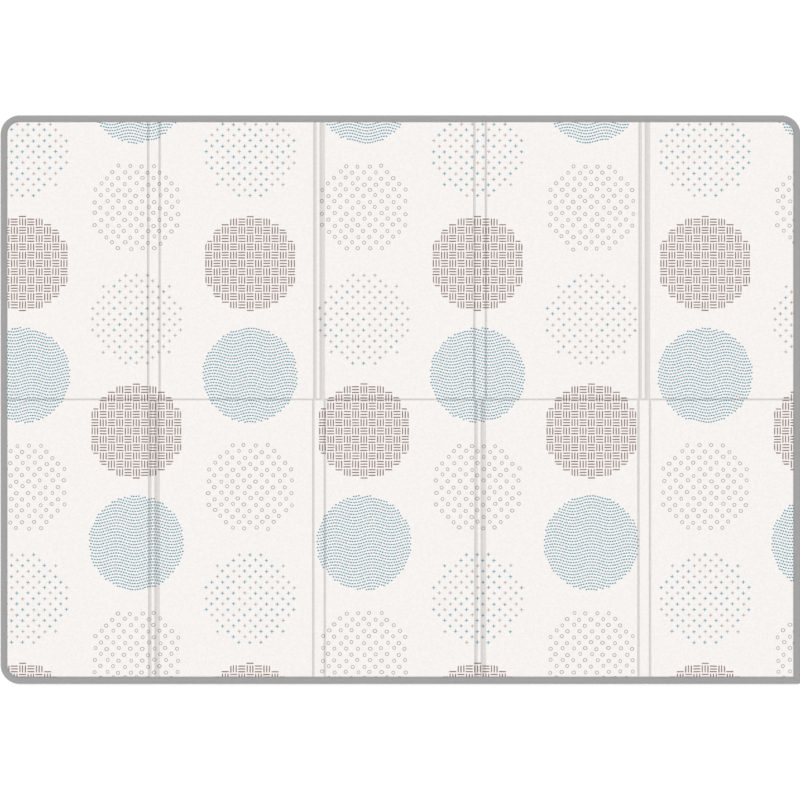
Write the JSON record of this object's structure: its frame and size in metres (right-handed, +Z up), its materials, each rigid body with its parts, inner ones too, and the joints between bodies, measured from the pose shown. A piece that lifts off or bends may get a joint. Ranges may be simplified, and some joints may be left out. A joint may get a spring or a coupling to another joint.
{
  "type": "folding play mat",
  "caption": "Flat folding foam play mat with pressed fold lines, a printed face and a grey tape-bound edge.",
  "frame": {"origin": "middle of the underside, on the floor that the mat lies on", "axes": "+X along the length, towards the end with the square corner; +Y across the width, away from the square corner; +Z up out of the printed face"},
  "size_m": [1.97, 1.4, 0.015],
  "materials": {
    "printed_film": "finely embossed matt film on foam, off-white with printed discs in grey-blue and taupe",
    "woven_tape": "plain woven binding tape, mid grey, matt"
  },
  "bodies": {
    "root": {"mat_sheet": "printed_film", "edge_binding": "woven_tape"}
  },
  "joints": []
}
